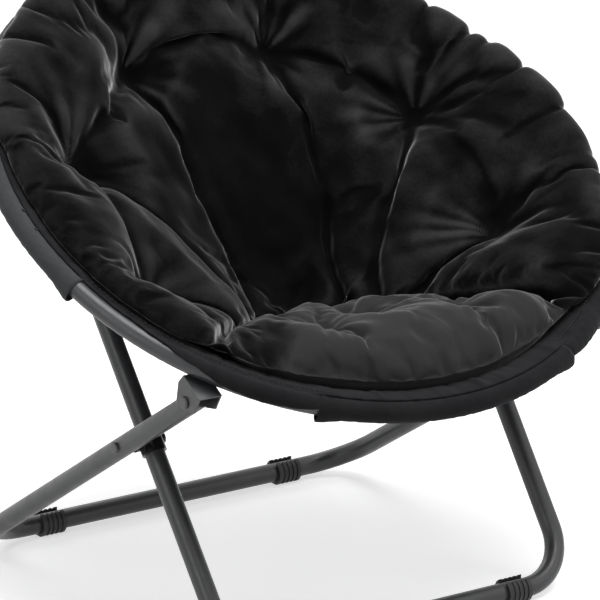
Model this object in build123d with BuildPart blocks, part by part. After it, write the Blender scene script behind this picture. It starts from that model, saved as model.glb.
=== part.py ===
from build123d import *
import math
import os

# Seat hoop, millimetres and degrees
HOOP_RADIUS = 395.0
HOOP_TUBE = 22.0
HOOP_HEIGHT = 520.0
HOOP_TILT = 31.0
TUBE_WALL = 1.5

# Leg frames
LEG_TUBE = 25.0
BEND_RADIUS = 68.0
FRONT_BAR_Y = -226.0
REAR_BAR_Y = 310.0
FRONT_HALF_BASE = 251.0
FRONT_HALF_TOP = 260.0
REAR_HALF_BASE = 282.0
REAR_HALF_TOP = 294.0

# Pivot of the rear legs, outside the centre line of the hoop and under its plane
PIVOT_OUT = 10.311
PIVOT_DROP = 37.0
PIVOT_END = 13.0

# Saddle on the front legs, inside the centre line of the hoop and under its plane
SADDLE_IN = 7.0
SADDLE_DROP = 20.0
SADDLE_BACK = 22.0
SADDLE_WALL = 3.0
SADDLE_SOCKET = 28.0
SADDLE_REACH = 42.0
SADDLE_LIP_DROP = 7.5

# Rivets
RIVET_RADIUS = 4.0
RIVET_HEAD_RADIUS = 7.5
RIVET_HEAD_HEIGHT = 3.0
SMALL_RIVET_RADIUS = 2.0
SMALL_HEAD_RADIUS = 4.0
SMALL_HEAD_HEIGHT = 1.6
HEAD_ROUND_SHARE = 0.6

# Brackets, collars and plugs
BRACKET_WALL = 2.0
BRACKET_SIDE_GAP = 0.9
BRACKET_FRONT = 21.0
BRACKET_REAR = 19.0
BRACKET_SKIRT = 11.0
BRACKET_NOSE = 23.0
BRACKET_TOE = 5.0
BRACKET_SHOULDER = 15.0
BRACKET_BULGE = 4.0
COLLAR_WALL = 3.0
COLLAR_LENGTH = 34.0
COLLAR_BOSS_RADIUS = 11.0
COLLAR_GAP = 0.5
PLUG_DEPTH = 7.0
PLUG_CAP = 2.0

# Foot glides
GLIDE_LENGTH = 34.0
GLIDE_WALL = 4.5
GLIDE_FLOOR = 3.0
FRONT_GLIDE_INSET = 1.0
REAR_GLIDE_INSET = 15.0
GLIDE_RIBS = 4
GLIDE_RIB_DEPTH = 1.2
GLIDE_SLOT = 15.0

# Cloth parts
SLEEVE_CLOTH = 2.2
SLEEVE_END_V = -112.0
FRONT_SLEEVE_HALF = 179.0
CLOTH = 2.4
BAND_LAP = 1.0
BAND_WIDTH = 20.5
BAND_SEAT = 1.0
BAND_GAP = 0.6
BAND_RISE = 9.0
BAND_DROP = 2.0
SEAT_DEPTH = 241.0
SEAT_SHIFT = -60.0
SLING_SIDE = 4.0
TUFT_COUNT = 8
TUFT_RING = 262.0
SEAT_TUFT_V = -195.0
TUFT_RADIUS = 30.0
TUFT_SINK = 11.0
STITCH_RADIUS = 2.5
STITCH_KNOT = 2.0

# Bowl shape as pairs of depth under the hoop and radius, drawn for this depth and hoop radius
SHAPE_DEPTH = 241.0
SHAPE_RADIUS = 395.0
SLING_LEVELS = [(20, 345), (45, 308), (75, 266), (110, 218), (145, 170), (180, 122), (210, 80), (232, 44)]
PAD_RIM_LEVELS = [(-15, 346), (-8, 357)]
PAD_TOP_LEVELS = [(-15, 340), (-2, 318), (15, 286), (35, 250), (60, 210), (88, 168), (118, 126), (148, 86), (171, 48)]
SLING_TIP = 16.0
PAD_THICKNESS = 55.0
PAD_TOP_TIP = 12.0
DEPTH_STEPS = 20

# Clearances
GAP = 0.3
PAD_GAP = 0.8
RUN = 0.05
SNUG = 0.1

os.makedirs("parts", exist_ok=True)

# Derived sizes
tilt = math.radians(HOOP_TILT)
hoop_r = HOOP_TUBE / 2
leg_r = LEG_TUBE / 2
bar_z = leg_r + GLIDE_FLOOR
hoop_centre = (0, 0, HOOP_HEIGHT)
hoop_along = (0, math.cos(tilt), math.sin(tilt))
hoop_normal = (0, -math.sin(tilt), math.cos(tilt))
hoop_plane = Plane(origin=hoop_centre, x_dir=(1, 0, 0), z_dir=hoop_normal)
hoop_axis = Axis(hoop_centre, hoop_normal)
side_plane = Plane(origin=hoop_centre, x_dir=hoop_along, z_dir=(1, 0, 0))
sleeve_in = hoop_r + GAP
sleeve_out = sleeve_in + SLEEVE_CLOTH
band_outer = HOOP_RADIUS - sleeve_out + BAND_LAP
band_inner = band_outer - BAND_WIDTH


def on_hoop(v, h):
    # Side view point for a distance along the hoop plane and a height over it
    y = v * math.cos(tilt) - h * math.sin(tilt)
    z = HOOP_HEIGHT + v * math.sin(tilt) + h * math.cos(tilt)
    return y, z


def section_at(angle):
    # Upright plane through the hoop axis, turned by an angle from the right side
    out = (math.cos(angle), math.sin(angle) * math.cos(tilt), math.sin(angle) * math.sin(tilt))
    return Plane(origin=hoop_centre, x_dir=out, z_dir=Vector(out).cross(Vector(hoop_normal)))


def half_width(base, top, start_z, end_z, z):
    # Distance of a leg from the middle at one height
    return base + (top - base) * (z - start_z) / (end_z - start_z)


pivot_v = -math.sqrt((HOOP_RADIUS + PIVOT_OUT) ** 2 - REAR_HALF_TOP**2)
saddle_v = math.sqrt((HOOP_RADIUS - SADDLE_IN) ** 2 - FRONT_HALF_TOP**2)
pivot_y, pivot_z = on_hoop(pivot_v, -PIVOT_DROP)
saddle_y, saddle_z = on_hoop(saddle_v, -SADDLE_DROP)

# Where the two legs cross in the side view
front_slope = (saddle_z - bar_z) / (saddle_y - FRONT_BAR_Y)
rear_slope = (pivot_z - bar_z) / (pivot_y - REAR_BAR_Y)
cross_y = (front_slope * FRONT_BAR_Y - rear_slope * REAR_BAR_Y) / (front_slope - rear_slope)
cross_z = bar_z + front_slope * (cross_y - FRONT_BAR_Y)
front_cross_x = half_width(FRONT_HALF_BASE, FRONT_HALF_TOP, bar_z, saddle_z, cross_z)
rear_cross_x = half_width(REAR_HALF_BASE, REAR_HALF_TOP, bar_z, pivot_z, cross_z)

# Lengths and directions of the legs
front_length = math.hypot(saddle_y - FRONT_BAR_Y, saddle_z - bar_z)
rear_length = math.hypot(pivot_y - REAR_BAR_Y, pivot_z - bar_z)
front_dir = ((saddle_y - FRONT_BAR_Y) / front_length, (saddle_z - bar_z) / front_length)
rear_dir = ((pivot_y - REAR_BAR_Y) / rear_length, (pivot_z - bar_z) / rear_length)
wedge = math.acos(front_dir[0]) - tilt
front_tube_length = front_length - SADDLE_BACK / math.cos(wedge)
rear_tube_length = rear_length + PIVOT_END
front_tube_top = FRONT_HALF_BASE + (FRONT_HALF_TOP - FRONT_HALF_BASE) * front_tube_length / front_length
rear_tube_top = REAR_HALF_BASE + (REAR_HALF_TOP - REAR_HALF_BASE) * rear_tube_length / rear_length
front_plane = Plane(origin=(0, FRONT_BAR_Y, bar_z), x_dir=(1, 0, 0), z_dir=(0, -front_dir[1], front_dir[0]))
rear_plane = Plane(origin=(0, REAR_BAR_Y, bar_z), x_dir=(1, 0, 0), z_dir=(0, -rear_dir[1], rear_dir[0]))

# Rivet that holds each saddle
tack_at = front_tube_length - SADDLE_SOCKET / 2
tack_y = FRONT_BAR_Y + front_dir[0] * tack_at
tack_z = bar_z + front_dir[1] * tack_at
tack_x = FRONT_HALF_BASE + (FRONT_HALF_TOP - FRONT_HALF_BASE) * tack_at / front_length

# Front leg frame, the inner one
with BuildPart() as front_leg_frame:
    with BuildLine(front_plane) as front_path:
        FilletPolyline(
            (-front_tube_top, front_tube_length),
            (-FRONT_HALF_BASE, 0),
            (FRONT_HALF_BASE, 0),
            (front_tube_top, front_tube_length),
            radius=BEND_RADIUS,
        )
    with BuildSketch(Plane(origin=front_path.wire() @ 0, z_dir=front_path.wire() % 0)):
        Circle(leg_r)
        Circle(leg_r - TUBE_WALL, mode=Mode.SUBTRACT)
    sweep(path=front_path.wire())
    with BuildSketch(Plane.YZ):
        with Locations((cross_y, cross_z)):
            Circle(RIVET_RADIUS + RUN)
        with Locations((tack_y, tack_z)):
            Circle(SMALL_RIVET_RADIUS + RUN)
    extrude(amount=REAR_HALF_TOP, both=True, mode=Mode.SUBTRACT)
front_leg_frame.part.label = "front_leg_frame"
export_step(front_leg_frame.part, "parts/front_leg_frame.step")

# Rear leg frame, the outer one
with BuildPart() as rear_leg_frame:
    with BuildLine(rear_plane) as rear_path:
        FilletPolyline(
            (-rear_tube_top, rear_tube_length),
            (-REAR_HALF_BASE, 0),
            (REAR_HALF_BASE, 0),
            (rear_tube_top, rear_tube_length),
            radius=BEND_RADIUS,
        )
    with BuildSketch(Plane(origin=rear_path.wire() @ 0, z_dir=rear_path.wire() % 0)):
        Circle(leg_r)
        Circle(leg_r - TUBE_WALL, mode=Mode.SUBTRACT)
    sweep(path=rear_path.wire())
    with BuildSketch(Plane.YZ):
        with Locations((cross_y, cross_z)):
            Circle(RIVET_RADIUS + RUN)
        with Locations((pivot_y, pivot_z)):
            Circle(RIVET_RADIUS + RUN)
    extrude(amount=REAR_HALF_TOP + LEG_TUBE, both=True, mode=Mode.SUBTRACT)
rear_leg_frame.part.label = "rear_leg_frame"
export_step(rear_leg_frame.part, "parts/rear_leg_frame.step")

# Seat hoop
with BuildPart() as seat_hoop:
    with BuildSketch(section_at(0)):
        with Locations((HOOP_RADIUS, 0)):
            Circle(hoop_r)
            Circle(hoop_r - TUBE_WALL, mode=Mode.SUBTRACT)
    revolve(axis=hoop_axis)
seat_hoop.part.label = "seat_hoop"
export_step(seat_hoop.part, "parts/seat_hoop.step")

# Brackets under the hoop that carry the rear legs
bracket_inside = leg_r + BRACKET_SIDE_GAP
bracket_outside = bracket_inside + BRACKET_WALL
bracket_top = -hoop_r - SNUG
bracket_bottom = -PIVOT_DROP - BRACKET_SKIRT
for name, side in (("bracket_left", -1), ("bracket_right", 1)):
    with BuildPart() as bracket:
        with BuildSketch(side_plane.offset(side * REAR_HALF_TOP)):
            with BuildLine():
                Polyline(
                    (pivot_v - BRACKET_FRONT, bracket_top),
                    (pivot_v + BRACKET_REAR, bracket_top),
                    (pivot_v + BRACKET_REAR + BRACKET_BULGE, bracket_top - BRACKET_SHOULDER),
                    (pivot_v + BRACKET_REAR - BRACKET_BULGE, bracket_bottom),
                    (pivot_v - BRACKET_TOE, bracket_bottom),
                    (pivot_v - BRACKET_FRONT, bracket_top - BRACKET_NOSE),
                    close=True,
                )
            make_face()
        extrude(amount=bracket_outside, both=True)
        with BuildSketch(side_plane.offset(side * REAR_HALF_TOP)):
            with Locations((pivot_v, bracket_top - BRACKET_WALL)):
                Rectangle(4 * LEG_TUBE, 4 * LEG_TUBE, align=(Align.CENTER, Align.MAX))
        extrude(amount=bracket_inside, both=True, mode=Mode.SUBTRACT)
        with BuildSketch(side_plane.offset(side * REAR_HALF_TOP)):
            with Locations((pivot_v, -PIVOT_DROP)):
                Circle(RIVET_RADIUS + RUN)
        extrude(amount=2 * bracket_outside, both=True, mode=Mode.SUBTRACT)
    bracket.part.label = name
    export_step(bracket.part, f"parts/{name}.step")

# Rivets of the rear leg pivots
with BuildPart() as bracket_rivets:
    with BuildSketch(Plane.YZ.offset(REAR_HALF_TOP)):
        with Locations((pivot_y, pivot_z)):
            Circle(RIVET_RADIUS)
    extrude(amount=bracket_outside, both=True)
    for end in (-1, 1):
        with BuildSketch(Plane.YZ.offset(REAR_HALF_TOP + end * bracket_outside)):
            with Locations((pivot_y, pivot_z)):
                Circle(RIVET_HEAD_RADIUS)
        extrude(amount=end * RIVET_HEAD_HEIGHT)
    fillet(bracket_rivets.faces().sort_by(Axis.X)[0].edges(), RIVET_HEAD_HEIGHT * HEAD_ROUND_SHARE)
    fillet(bracket_rivets.faces().sort_by(Axis.X)[-1].edges(), RIVET_HEAD_HEIGHT * HEAD_ROUND_SHARE)
    mirror(about=Plane.YZ)
bracket_rivets.part.label = "bracket_rivets"
export_step(bracket_rivets.part, "parts/bracket_rivets.step")

# Rivets where the legs cross
cross_out = rear_cross_x + leg_r + GAP
cross_in = front_cross_x - leg_r - SNUG - COLLAR_WALL - GAP
with BuildPart() as cross_rivets:
    with BuildSketch(Plane.YZ.offset(cross_in)):
        with Locations((cross_y, cross_z)):
            Circle(RIVET_RADIUS)
    extrude(amount=cross_out - cross_in)
    for face_x, end in ((cross_in, -1), (cross_out, 1)):
        with BuildSketch(Plane.YZ.offset(face_x)):
            with Locations((cross_y, cross_z)):
                Circle(RIVET_HEAD_RADIUS)
        extrude(amount=end * RIVET_HEAD_HEIGHT)
    fillet(cross_rivets.faces().sort_by(Axis.X)[0].edges(), RIVET_HEAD_HEIGHT * HEAD_ROUND_SHARE)
    fillet(cross_rivets.faces().sort_by(Axis.X)[-1].edges(), RIVET_HEAD_HEIGHT * HEAD_ROUND_SHARE)
    mirror(about=Plane.YZ)
cross_rivets.part.label = "cross_rivets"
export_step(cross_rivets.part, "parts/cross_rivets.step")

# Collars that keep the crossing legs apart
boss_end = rear_cross_x - leg_r - COLLAR_GAP
for name, side in (("cross_collar_left", -1), ("cross_collar_right", 1)):
    lean = side * (FRONT_HALF_TOP - FRONT_HALF_BASE) / front_length
    collar_plane = Plane(origin=(side * front_cross_x, cross_y, cross_z), z_dir=(lean, front_dir[0], front_dir[1]))
    with BuildPart() as collar:
        with BuildSketch(collar_plane):
            Circle(leg_r + SNUG + COLLAR_WALL)
        extrude(amount=COLLAR_LENGTH / 2, both=True)
        with BuildSketch(Plane.YZ.offset(side * front_cross_x)):
            with Locations((cross_y, cross_z)):
                Circle(COLLAR_BOSS_RADIUS)
        extrude(amount=side * (boss_end - front_cross_x))
        with BuildSketch(collar_plane):
            Circle(leg_r + SNUG)
        extrude(amount=COLLAR_LENGTH, both=True, mode=Mode.SUBTRACT)
        with BuildSketch(Plane.YZ.offset(side * front_cross_x)):
            with Locations((cross_y, cross_z)):
                Circle(RIVET_RADIUS + RUN)
        extrude(amount=2 * LEG_TUBE, both=True, mode=Mode.SUBTRACT)
    collar.part.label = name
    export_step(collar.part, f"parts/{name}.step")

# Saddles on the front leg tops, open upwards for the hoop
for name, side in (("saddle_left", 0), ("saddle_right", 1)):
    leg_end = Plane(origin=front_path.wire() @ side, z_dir=(front_path.wire() % side) * (2 * side - 1))
    with BuildPart() as saddle:
        with BuildSketch(leg_end.offset(-SADDLE_SOCKET)):
            Circle(leg_r + SNUG + SADDLE_WALL)
        extrude(amount=SADDLE_SOCKET + SADDLE_REACH)
        with BuildSketch(leg_end.offset(SNUG)):
            Circle(leg_r + SNUG)
        extrude(amount=-SADDLE_SOCKET - LEG_TUBE, mode=Mode.SUBTRACT)
        with BuildSketch(section_at(0)):
            with Locations((HOOP_RADIUS, 0)):
                Circle(sleeve_out + GAP)
        revolve(axis=hoop_axis, mode=Mode.SUBTRACT)
        with BuildSketch(hoop_plane.offset(-sleeve_out - GAP)):
            Circle(HOOP_RADIUS)
        extrude(amount=4 * LEG_TUBE, mode=Mode.SUBTRACT)
        with BuildSketch(hoop_plane.offset(-SADDLE_LIP_DROP)):
            Circle(2 * HOOP_RADIUS)
        extrude(amount=4 * LEG_TUBE, mode=Mode.SUBTRACT)
        with BuildSketch(Plane.YZ):
            with Locations((tack_y, tack_z)):
                Circle(SMALL_RIVET_RADIUS + RUN)
        extrude(amount=HOOP_RADIUS, both=True, mode=Mode.SUBTRACT)
    saddle.part.label = name
    export_step(saddle.part, f"parts/{name}.step")

# Small rivets through the saddles
tack_half = leg_r + SADDLE_WALL + 2 * SNUG
with BuildPart() as saddle_rivets:
    with BuildSketch(Plane.YZ.offset(tack_x)):
        with Locations((tack_y, tack_z)):
            Circle(SMALL_RIVET_RADIUS)
    extrude(amount=tack_half, both=True)
    for end in (-1, 1):
        with BuildSketch(Plane.YZ.offset(tack_x + end * tack_half)):
            with Locations((tack_y, tack_z)):
                Circle(SMALL_HEAD_RADIUS)
        extrude(amount=end * SMALL_HEAD_HEIGHT)
    mirror(about=Plane.YZ)
saddle_rivets.part.label = "saddle_rivets"
export_step(saddle_rivets.part, "parts/saddle_rivets.step")

# Plugs that close the rear leg tops
with BuildPart() as leg_end_plugs:
    with BuildSketch(Plane(origin=rear_path.wire() @ 1, z_dir=rear_path.wire() % 1)):
        Circle(leg_r)
    extrude(amount=PLUG_CAP)
    with BuildSketch(Plane(origin=rear_path.wire() @ 1, z_dir=rear_path.wire() % 1)):
        Circle(leg_r - TUBE_WALL - SNUG)
    extrude(amount=-PLUG_DEPTH)
    mirror(about=Plane.YZ)
leg_end_plugs.part.label = "leg_end_plugs"
export_step(leg_end_plugs.part, "parts/leg_end_plugs.step")

# Foot glides clipped on the floor bars
glide_r = leg_r + GLIDE_WALL
rib_pitch = GLIDE_LENGTH / (GLIDE_RIBS + 1)
front_glide_x = FRONT_HALF_BASE - BEND_RADIUS - FRONT_GLIDE_INSET - GLIDE_LENGTH / 2
rear_glide_x = REAR_HALF_BASE - BEND_RADIUS - REAR_GLIDE_INSET - GLIDE_LENGTH / 2
for name, glide_x, bar_y in (
    ("glide_front_left", -front_glide_x, FRONT_BAR_Y),
    ("glide_front_right", front_glide_x, FRONT_BAR_Y),
    ("glide_rear_left", -rear_glide_x, REAR_BAR_Y),
    ("glide_rear_right", rear_glide_x, REAR_BAR_Y),
):
    with BuildPart() as glide:
        with BuildSketch(Plane.YZ.offset(glide_x)):
            with Locations((bar_y, bar_z)):
                Circle(glide_r)
                Circle(leg_r + SNUG, mode=Mode.SUBTRACT)
                Rectangle(GLIDE_SLOT, LEG_TUBE, align=(Align.CENTER, Align.MIN), mode=Mode.SUBTRACT)
            with Locations((bar_y, 0)):
                Rectangle(2 * LEG_TUBE, LEG_TUBE, align=(Align.CENTER, Align.MAX), mode=Mode.SUBTRACT)
        extrude(amount=GLIDE_LENGTH / 2, both=True)
        for rib in range(GLIDE_RIBS):
            rib_x = glide_x + (rib + 1) * rib_pitch - GLIDE_LENGTH / 2
            with BuildSketch(Plane.YZ.offset(rib_x)):
                with Locations((bar_y, bar_z)):
                    Circle(glide_r + GLIDE_RIB_DEPTH)
                    Circle(glide_r - GLIDE_RIB_DEPTH, mode=Mode.SUBTRACT)
            extrude(amount=rib_pitch / 4, both=True, mode=Mode.SUBTRACT)
    glide.part.label = name
    export_step(glide.part, f"parts/{name}.step")

# Cloth sleeves on the hoop
rear_start = math.asin(SLEEVE_END_V / HOOP_RADIUS)
with BuildPart() as rear_sleeve:
    with BuildSketch(section_at(rear_start)):
        with Locations((HOOP_RADIUS, 0)):
            Circle(sleeve_out)
            Circle(sleeve_in, mode=Mode.SUBTRACT)
    revolve(axis=hoop_axis, revolution_arc=180 - 2 * math.degrees(rear_start))
rear_sleeve.part.label = "rear_sleeve"
export_step(rear_sleeve.part, "parts/rear_sleeve.step")

front_half_arc = math.asin(FRONT_SLEEVE_HALF / HOOP_RADIUS)
with BuildPart() as front_sleeve:
    with BuildSketch(section_at(-math.pi / 2 - front_half_arc)):
        with Locations((HOOP_RADIUS, 0)):
            Circle(sleeve_out)
            Circle(sleeve_in, mode=Mode.SUBTRACT)
    revolve(axis=hoop_axis, revolution_arc=2 * math.degrees(front_half_arc))
front_sleeve.part.label = "front_sleeve"
export_step(front_sleeve.part, "parts/front_sleeve.step")

# Flat border band between the sleeves and the pad
with BuildPart() as border_band:
    with BuildSketch(section_at(0)):
        with BuildLine():
            Polyline(
                (band_outer, BAND_RISE),
                (band_inner, -BAND_DROP),
                (band_inner, -BAND_DROP - CLOTH),
                (band_outer, BAND_RISE - CLOTH),
                close=True,
            )
        make_face()
    revolve(axis=hoop_axis)
border_band.part.label = "border_band"
export_step(border_band.part, "parts/border_band.step")


def shift_at(depth):
    # The bowl leans forward as it gets deeper
    return SEAT_SHIFT * max(depth, 0) / SEAT_DEPTH


def depth_at(rows, x, v):
    # Depth of a bowl surface at one place, found between its levels
    for (high, wide), (low, narrow) in zip(rows, rows[1:]):
        for step in range(DEPTH_STEPS):
            part_way = step / DEPTH_STEPS
            depth = high + (low - high) * part_way
            if math.hypot(x, v - shift_at(depth)) >= wide + (narrow - wide) * part_way:
                return depth
    return rows[-1][0]


def fitted(levels):
    # Bowl levels for the seat depth and hoop radius of this chair
    return [(depth * SEAT_DEPTH / SHAPE_DEPTH, radius * HOOP_RADIUS / SHAPE_RADIUS) for depth, radius in levels]


sling_levels = [(BAND_DROP + CLOTH + BAND_GAP, band_inner + BAND_SEAT)] + fitted(SLING_LEVELS)
pad_rim_levels = fitted(PAD_RIM_LEVELS)
sling_rows = sling_levels + [(SEAT_DEPTH, SLING_TIP)]
pad_top_rows = fitted(PAD_TOP_LEVELS) + [(SEAT_DEPTH - PAD_THICKNESS, PAD_TOP_TIP)]

# Tufts in a ring and one on the seat, as places on the hoop plane
tufts = [(0, SEAT_TUFT_V)]
for number in range(TUFT_COUNT):
    turn = 2 * math.pi * (number + 0.5) / TUFT_COUNT
    tufts.append((TUFT_RING * math.cos(turn), TUFT_RING * math.sin(turn)))

# Sling cloth under the pad
with BuildPart() as sling:
    for depth, radius in sling_rows:
        with BuildSketch(hoop_plane.offset(-depth)):
            with Locations((0, shift_at(depth))):
                Circle(radius)
    loft()
    for depth, radius in sling_levels + [(SEAT_DEPTH - CLOTH, SLING_TIP)]:
        with BuildSketch(hoop_plane.offset(-depth)):
            with Locations((0, shift_at(depth))):
                Circle(radius - SLING_SIDE)
    loft(mode=Mode.SUBTRACT)
    with BuildSketch(hoop_plane):
        with Locations(*tufts):
            Circle(STITCH_RADIUS + SNUG)
    extrude(amount=-2 * SEAT_DEPTH, mode=Mode.SUBTRACT)
sling.part.label = "sling"
export_step(sling.part, "parts/sling.step")

# Velvet pad
with BuildPart() as seat_pad:
    for depth, radius in sling_levels + [(SEAT_DEPTH - CLOTH - PAD_GAP, SLING_TIP)]:
        with BuildSketch(hoop_plane.offset(-depth)):
            with Locations((0, shift_at(depth))):
                Circle(radius - SLING_SIDE - PAD_GAP)
    loft()
    for depth, radius in pad_rim_levels + [(sling_levels[0][0], sling_levels[0][1] - SLING_SIDE - PAD_GAP)]:
        with BuildSketch(hoop_plane.offset(-depth)):
            with Locations((0, shift_at(depth))):
                Circle(radius)
    loft()
    for depth, radius in pad_top_rows:
        with BuildSketch(hoop_plane.offset(-depth)):
            with Locations((0, shift_at(depth))):
                Circle(radius)
    loft(mode=Mode.SUBTRACT)
    for x, v in tufts:
        with BuildSketch(side_plane.offset(x)):
            with Locations((v, TUFT_RADIUS - TUFT_SINK - depth_at(pad_top_rows, x, v))):
                Circle(TUFT_RADIUS)
                Rectangle(2 * TUFT_RADIUS, 2 * TUFT_RADIUS, align=(Align.MAX, Align.CENTER), mode=Mode.SUBTRACT)
        revolve(axis=Axis(side_plane.offset(x).from_local_coords((v, 0, 0)), hoop_normal), mode=Mode.SUBTRACT)
    with BuildSketch(hoop_plane):
        with Locations(*tufts):
            Circle(STITCH_RADIUS + SNUG)
    extrude(amount=-2 * SEAT_DEPTH, mode=Mode.SUBTRACT)
seat_pad.part.label = "seat_pad"
export_step(seat_pad.part, "parts/seat_pad.step")

# Stitches that tie the pad to the sling at each tuft
with BuildPart() as tuft_stitches:
    for x, v in tufts:
        stitch_top = depth_at(pad_top_rows, x, v) + TUFT_SINK - STITCH_KNOT
        stitch_end = depth_at(sling_rows, x, v) + STITCH_KNOT
        with BuildSketch(hoop_plane.offset(-stitch_top)):
            with Locations((x, v)):
                Circle(STITCH_RADIUS)
        extrude(amount=stitch_top - stitch_end)
tuft_stitches.part.label = "tuft_stitches"
export_step(tuft_stitches.part, "parts/tuft_stitches.step")
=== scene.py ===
import math

import bmesh
import bpy
import numpy as np
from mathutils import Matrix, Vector


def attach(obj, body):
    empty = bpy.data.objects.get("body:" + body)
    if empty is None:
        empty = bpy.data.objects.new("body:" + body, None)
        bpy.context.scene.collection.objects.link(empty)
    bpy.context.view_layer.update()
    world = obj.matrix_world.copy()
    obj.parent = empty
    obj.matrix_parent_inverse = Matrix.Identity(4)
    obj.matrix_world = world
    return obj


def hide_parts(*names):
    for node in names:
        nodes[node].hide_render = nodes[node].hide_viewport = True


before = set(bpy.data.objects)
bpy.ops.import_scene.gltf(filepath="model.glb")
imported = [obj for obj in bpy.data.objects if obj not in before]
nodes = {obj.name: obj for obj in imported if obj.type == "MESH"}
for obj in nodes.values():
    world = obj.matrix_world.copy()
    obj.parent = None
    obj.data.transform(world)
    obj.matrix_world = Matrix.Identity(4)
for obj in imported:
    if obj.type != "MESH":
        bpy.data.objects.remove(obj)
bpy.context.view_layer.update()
scene = bpy.context.scene

# Hoop frame in metres, as in the construction
TILT = math.radians(31.0)
HOOP_CENTRE = np.array([0.0, 0.0, 0.520])
ALONG = np.array([0.0, math.cos(TILT), math.sin(TILT)])
NORMAL = np.array([0.0, -math.sin(TILT), math.cos(TILT)])
HOOP_RADIUS = 0.395
SEAT_DEPTH = 0.241
SEAT_SHIFT = -0.060

# Pad top and rim from the middle outwards, as radius and height over the hoop plane
PAD_TOP = [
    (0.000, -0.1870), (0.012, -0.186), (0.048, -0.171), (0.086, -0.148), (0.126, -0.118), (0.168, -0.088),
    (0.210, -0.060), (0.250, -0.034), (0.286, -0.012), (0.316, 0.006), (0.338, 0.0175), (0.354, 0.0225),
    (0.367, 0.0215), (0.3755, 0.0165), (0.3775, 0.0128), (0.3755, 0.0100), (0.3690, 0.0074), (0.3622, 0.0036),
    (0.3588, -0.0008), (0.3582, -0.0050),
]
# Pad underside from the rim inwards
PAD_UNDER = [
    (0.3402, -0.020), (0.3032, -0.045), (0.2612, -0.075), (0.2132, -0.110), (0.1652, -0.145),
    (0.1172, -0.180), (0.0752, -0.210), (0.0392, -0.232), (0.0112, -0.2376),
]
# Sling outside from the rim inwards
SLING = [
    (0.3630, -0.005), (0.3450, -0.020), (0.3080, -0.045), (0.2660, -0.075), (0.2180, -0.110), (0.1700, -0.145),
    (0.1220, -0.180), (0.0800, -0.210), (0.0440, -0.232), (0.0160, -0.241), (0.0040, -0.2414),
]
TUFT_RING = 0.262
TUFT_TURNS = [math.pi * (k + 0.5) / 4 for k in range(8)]
# One tuft on the seat and eight on a ring
TUFTS = [(0.0, -0.195)] + [(TUFT_RING * math.cos(turn), TUFT_RING * math.sin(turn)) for turn in TUFT_TURNS]
SEAT_TUFT_LIMIT = -0.15
# Fold between seat and back, as points on the hoop plane
CREASE = [(-0.262, -0.252), (-0.228, -0.214), (-0.190, -0.178), (-0.110, -0.128), (-0.050, -0.100), (0.0, -0.090),
          (0.050, -0.102), (0.103, -0.142), (0.160, -0.212), (0.222, -0.282)]
# Long folds that run from tufts of the back down to the seat, as points on the hoop plane
LONG_FOLDS = [
    [(-0.100, 0.242), (-0.083, 0.150), (-0.072, 0.076), (-0.056, 0.006), (-0.060, -0.080)],
    [(0.100, 0.242), (0.104, 0.150), (0.098, 0.054), (0.078, -0.020), (0.064, -0.090)],
    [(0.242, 0.100), (0.196, 0.040), (0.146, -0.022), (0.108, -0.080), (0.090, -0.122)],
    [(0.242, -0.100), (0.190, -0.110), (0.140, -0.130), (0.106, -0.146)],
    [(-0.242, 0.100), (-0.190, 0.040), (-0.140, -0.020), (-0.100, -0.080), (-0.086, -0.110)],
    [(-0.242, -0.100), (-0.196, -0.112), (-0.150, -0.130)],
]
PLEATS = 40
# How far the rim reaches over the hoop, as a share at turns in degrees, and less than nothing at the front
REACH_TURNS = [-180, -145, -125, -110, -70, -58, -48, -35, 0, 25, 60, 85, 100, 150, 165, 180]
REACH_SHARES = [0.0, 0.0, -0.35, -0.6, -0.6, -0.3, 0.4, 0.9, 0.9, 0.45, 0.3, 0.5, 1.0, 1.0, 0.25, 0.0]
REACH_OUT, REACH_UP = 0.022, 0.0075
# Turns of the tucks in the border band and of the bar tacks on the rear sleeve, in degrees
TUCKS = [-117.0, -106.0, -94.3, -84.9, -80.0, -66.0]
TACKS = [178.4, -176.8, 1.6, -3.2]
# Meeting point of seat and back, and the middle of the stretch of rim that is smoother than the rest
SEAT_BACK = -0.090
SMOOTH_RIM = math.radians(150)
# Dips of the velvet before it swells, as pairs of depth and width
TUFT_DIPS = ((0.0120, 0.018), (0.0105, 0.055))
CREASE_DIPS = ((0.0140, 0.010), (0.006, 0.035))
FOLD_DIPS = ((0.0055, 0.010), (0.0030, 0.030))
RING_DIP, RING_WIDTH = 0.0030, 0.014
SEAT_LIFT, FRONT_DIP, PLEAT_DIP = 0.030, 0.0100, 0.0052
RIM_LIFT, PUFF_LIFT = 0.0110, 0.0080
# Sewn places, as the distance within which the cloth is held and how firmly
TUFT_SEWN, CREASE_SEWN, FOLD_SEWN = (0.008, 1.0), (0.005, 0.6), (0.003, 0.14)
PLEAT_HOLD = 0.40
# Most that the velvet may swell, and how much less on the rim and at the front
SWELL_MOST, SWELL_RIM, SWELL_FRONT = 0.026, 0.015, 0.008
# Creases of the swollen velvet
RAYS, RAY_DEPTH, GATHER_DEPTH = 12, 0.0060, 0.0075
FOLD_DEPTH, CREASE_DEPTH, PLEAT_DEPTH = 0.0024, 0.0050, 0.0022
RIPPLES, RIPPLE_DEPTH = 26, 0.030
# Velvet colour level with painted light: its level, the weight of ridges (painted sheen on them, painted shade in
# valleys), painted light on the seat, darkening of the rim, painted highlights on the gathers, and the level of the
# underside
PILE_BASE, SMALL_RIDGE_PAINTED_SHEEN_SHADE, BIG_RIDGE_PAINTED_SHEEN_SHADE, SEAT_PAINTED_LIGHT, PILE_RIM, GATHER_PAINTED_HIGHLIGHT, PILE_UNDER = 0.175, 46, 16, 0.46, 0.10, 0.85, 0.2
SIM_FRAMES = 24
PROFILE_STEPS, UNDER_STEPS = 400, 200
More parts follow.
